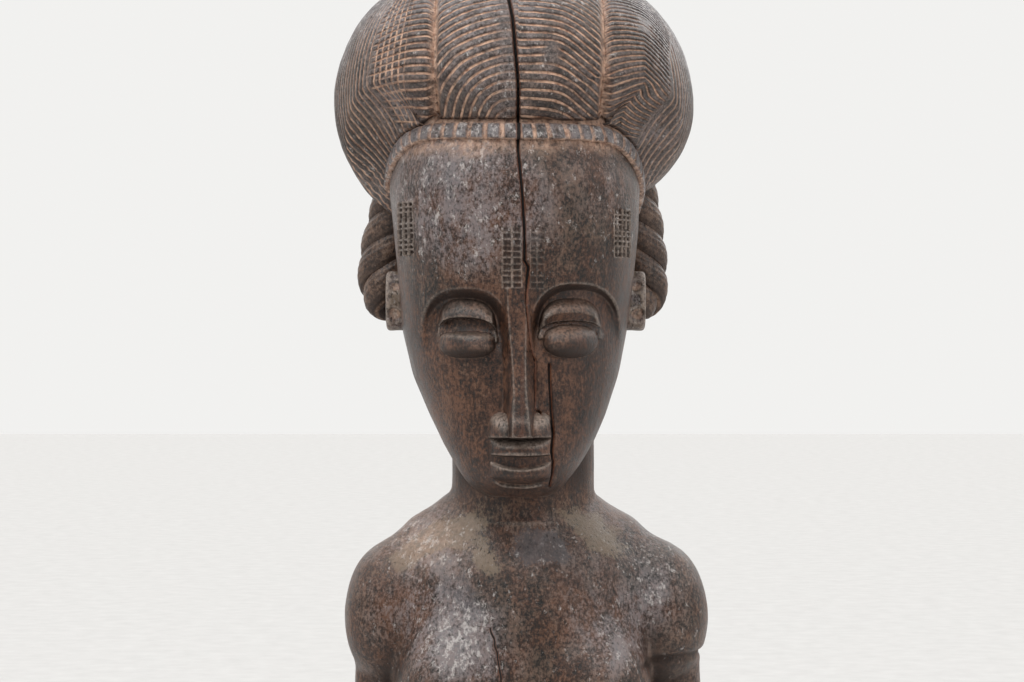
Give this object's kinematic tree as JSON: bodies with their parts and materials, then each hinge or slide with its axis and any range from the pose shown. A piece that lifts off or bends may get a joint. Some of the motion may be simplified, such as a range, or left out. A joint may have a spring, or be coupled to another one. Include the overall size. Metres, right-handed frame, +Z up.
{
  "type": "carved wooden figure",
  "caption": "Standing carved wooden fertility figure with a rolled, combed coiffure, plaits behind the ears, arms at the sides and hands on the belly, on a round base.",
  "frame": {"origin": "middle of the base's flat underside", "axes": "+Z up along the figure's height, the figure faces -Y, its own left hand is on +X"},
  "size_m": [0.1313, 0.143, 0.62],
  "materials": {
    "carved_wood": "aged hardwood, dark brown with a worn grey sheen, semi-gloss",
    "hair_wood": "aged hardwood with dusty combed grooves, grey-brown",
    "base_wood": "aged hardwood, dark brown, dull"
  },
  "bodies": {
    "root": {"base": "base_wood", "breast_left": "carved_wood", "breast_right": "carved_wood", "calf_left": "carved_wood", "calf_right": "carved_wood", "ear_left": "carved_wood", "ear_right": "carved_wood", "foot_left": "carved_wood", "foot_right": "carved_wood", "forearm_left": "carved_wood", "forearm_right": "carved_wood", "hair_roll_left": "hair_wood", "hair_roll_middle": "hair_wood", "hair_roll_right": "hair_wood", "hairline_band": "hair_wood", "hand_left": "carved_wood", "hand_right": "carved_wood", "head": "carved_wood", "hip_wrapper": "carved_wood", "nape_hair": "hair_wood", "navel": "carved_wood", "neck": "carved_wood", "plait_left": "hair_wood", "plait_right": "hair_wood", "shoulder_left": "carved_wood", "shoulder_right": "carved_wood", "thigh_left": "carved_wood", "thigh_right": "carved_wood", "torso": "carved_wood", "upper_arm_left": "carved_wood", "upper_arm_right": "carved_wood"}
  },
  "joints": []
}
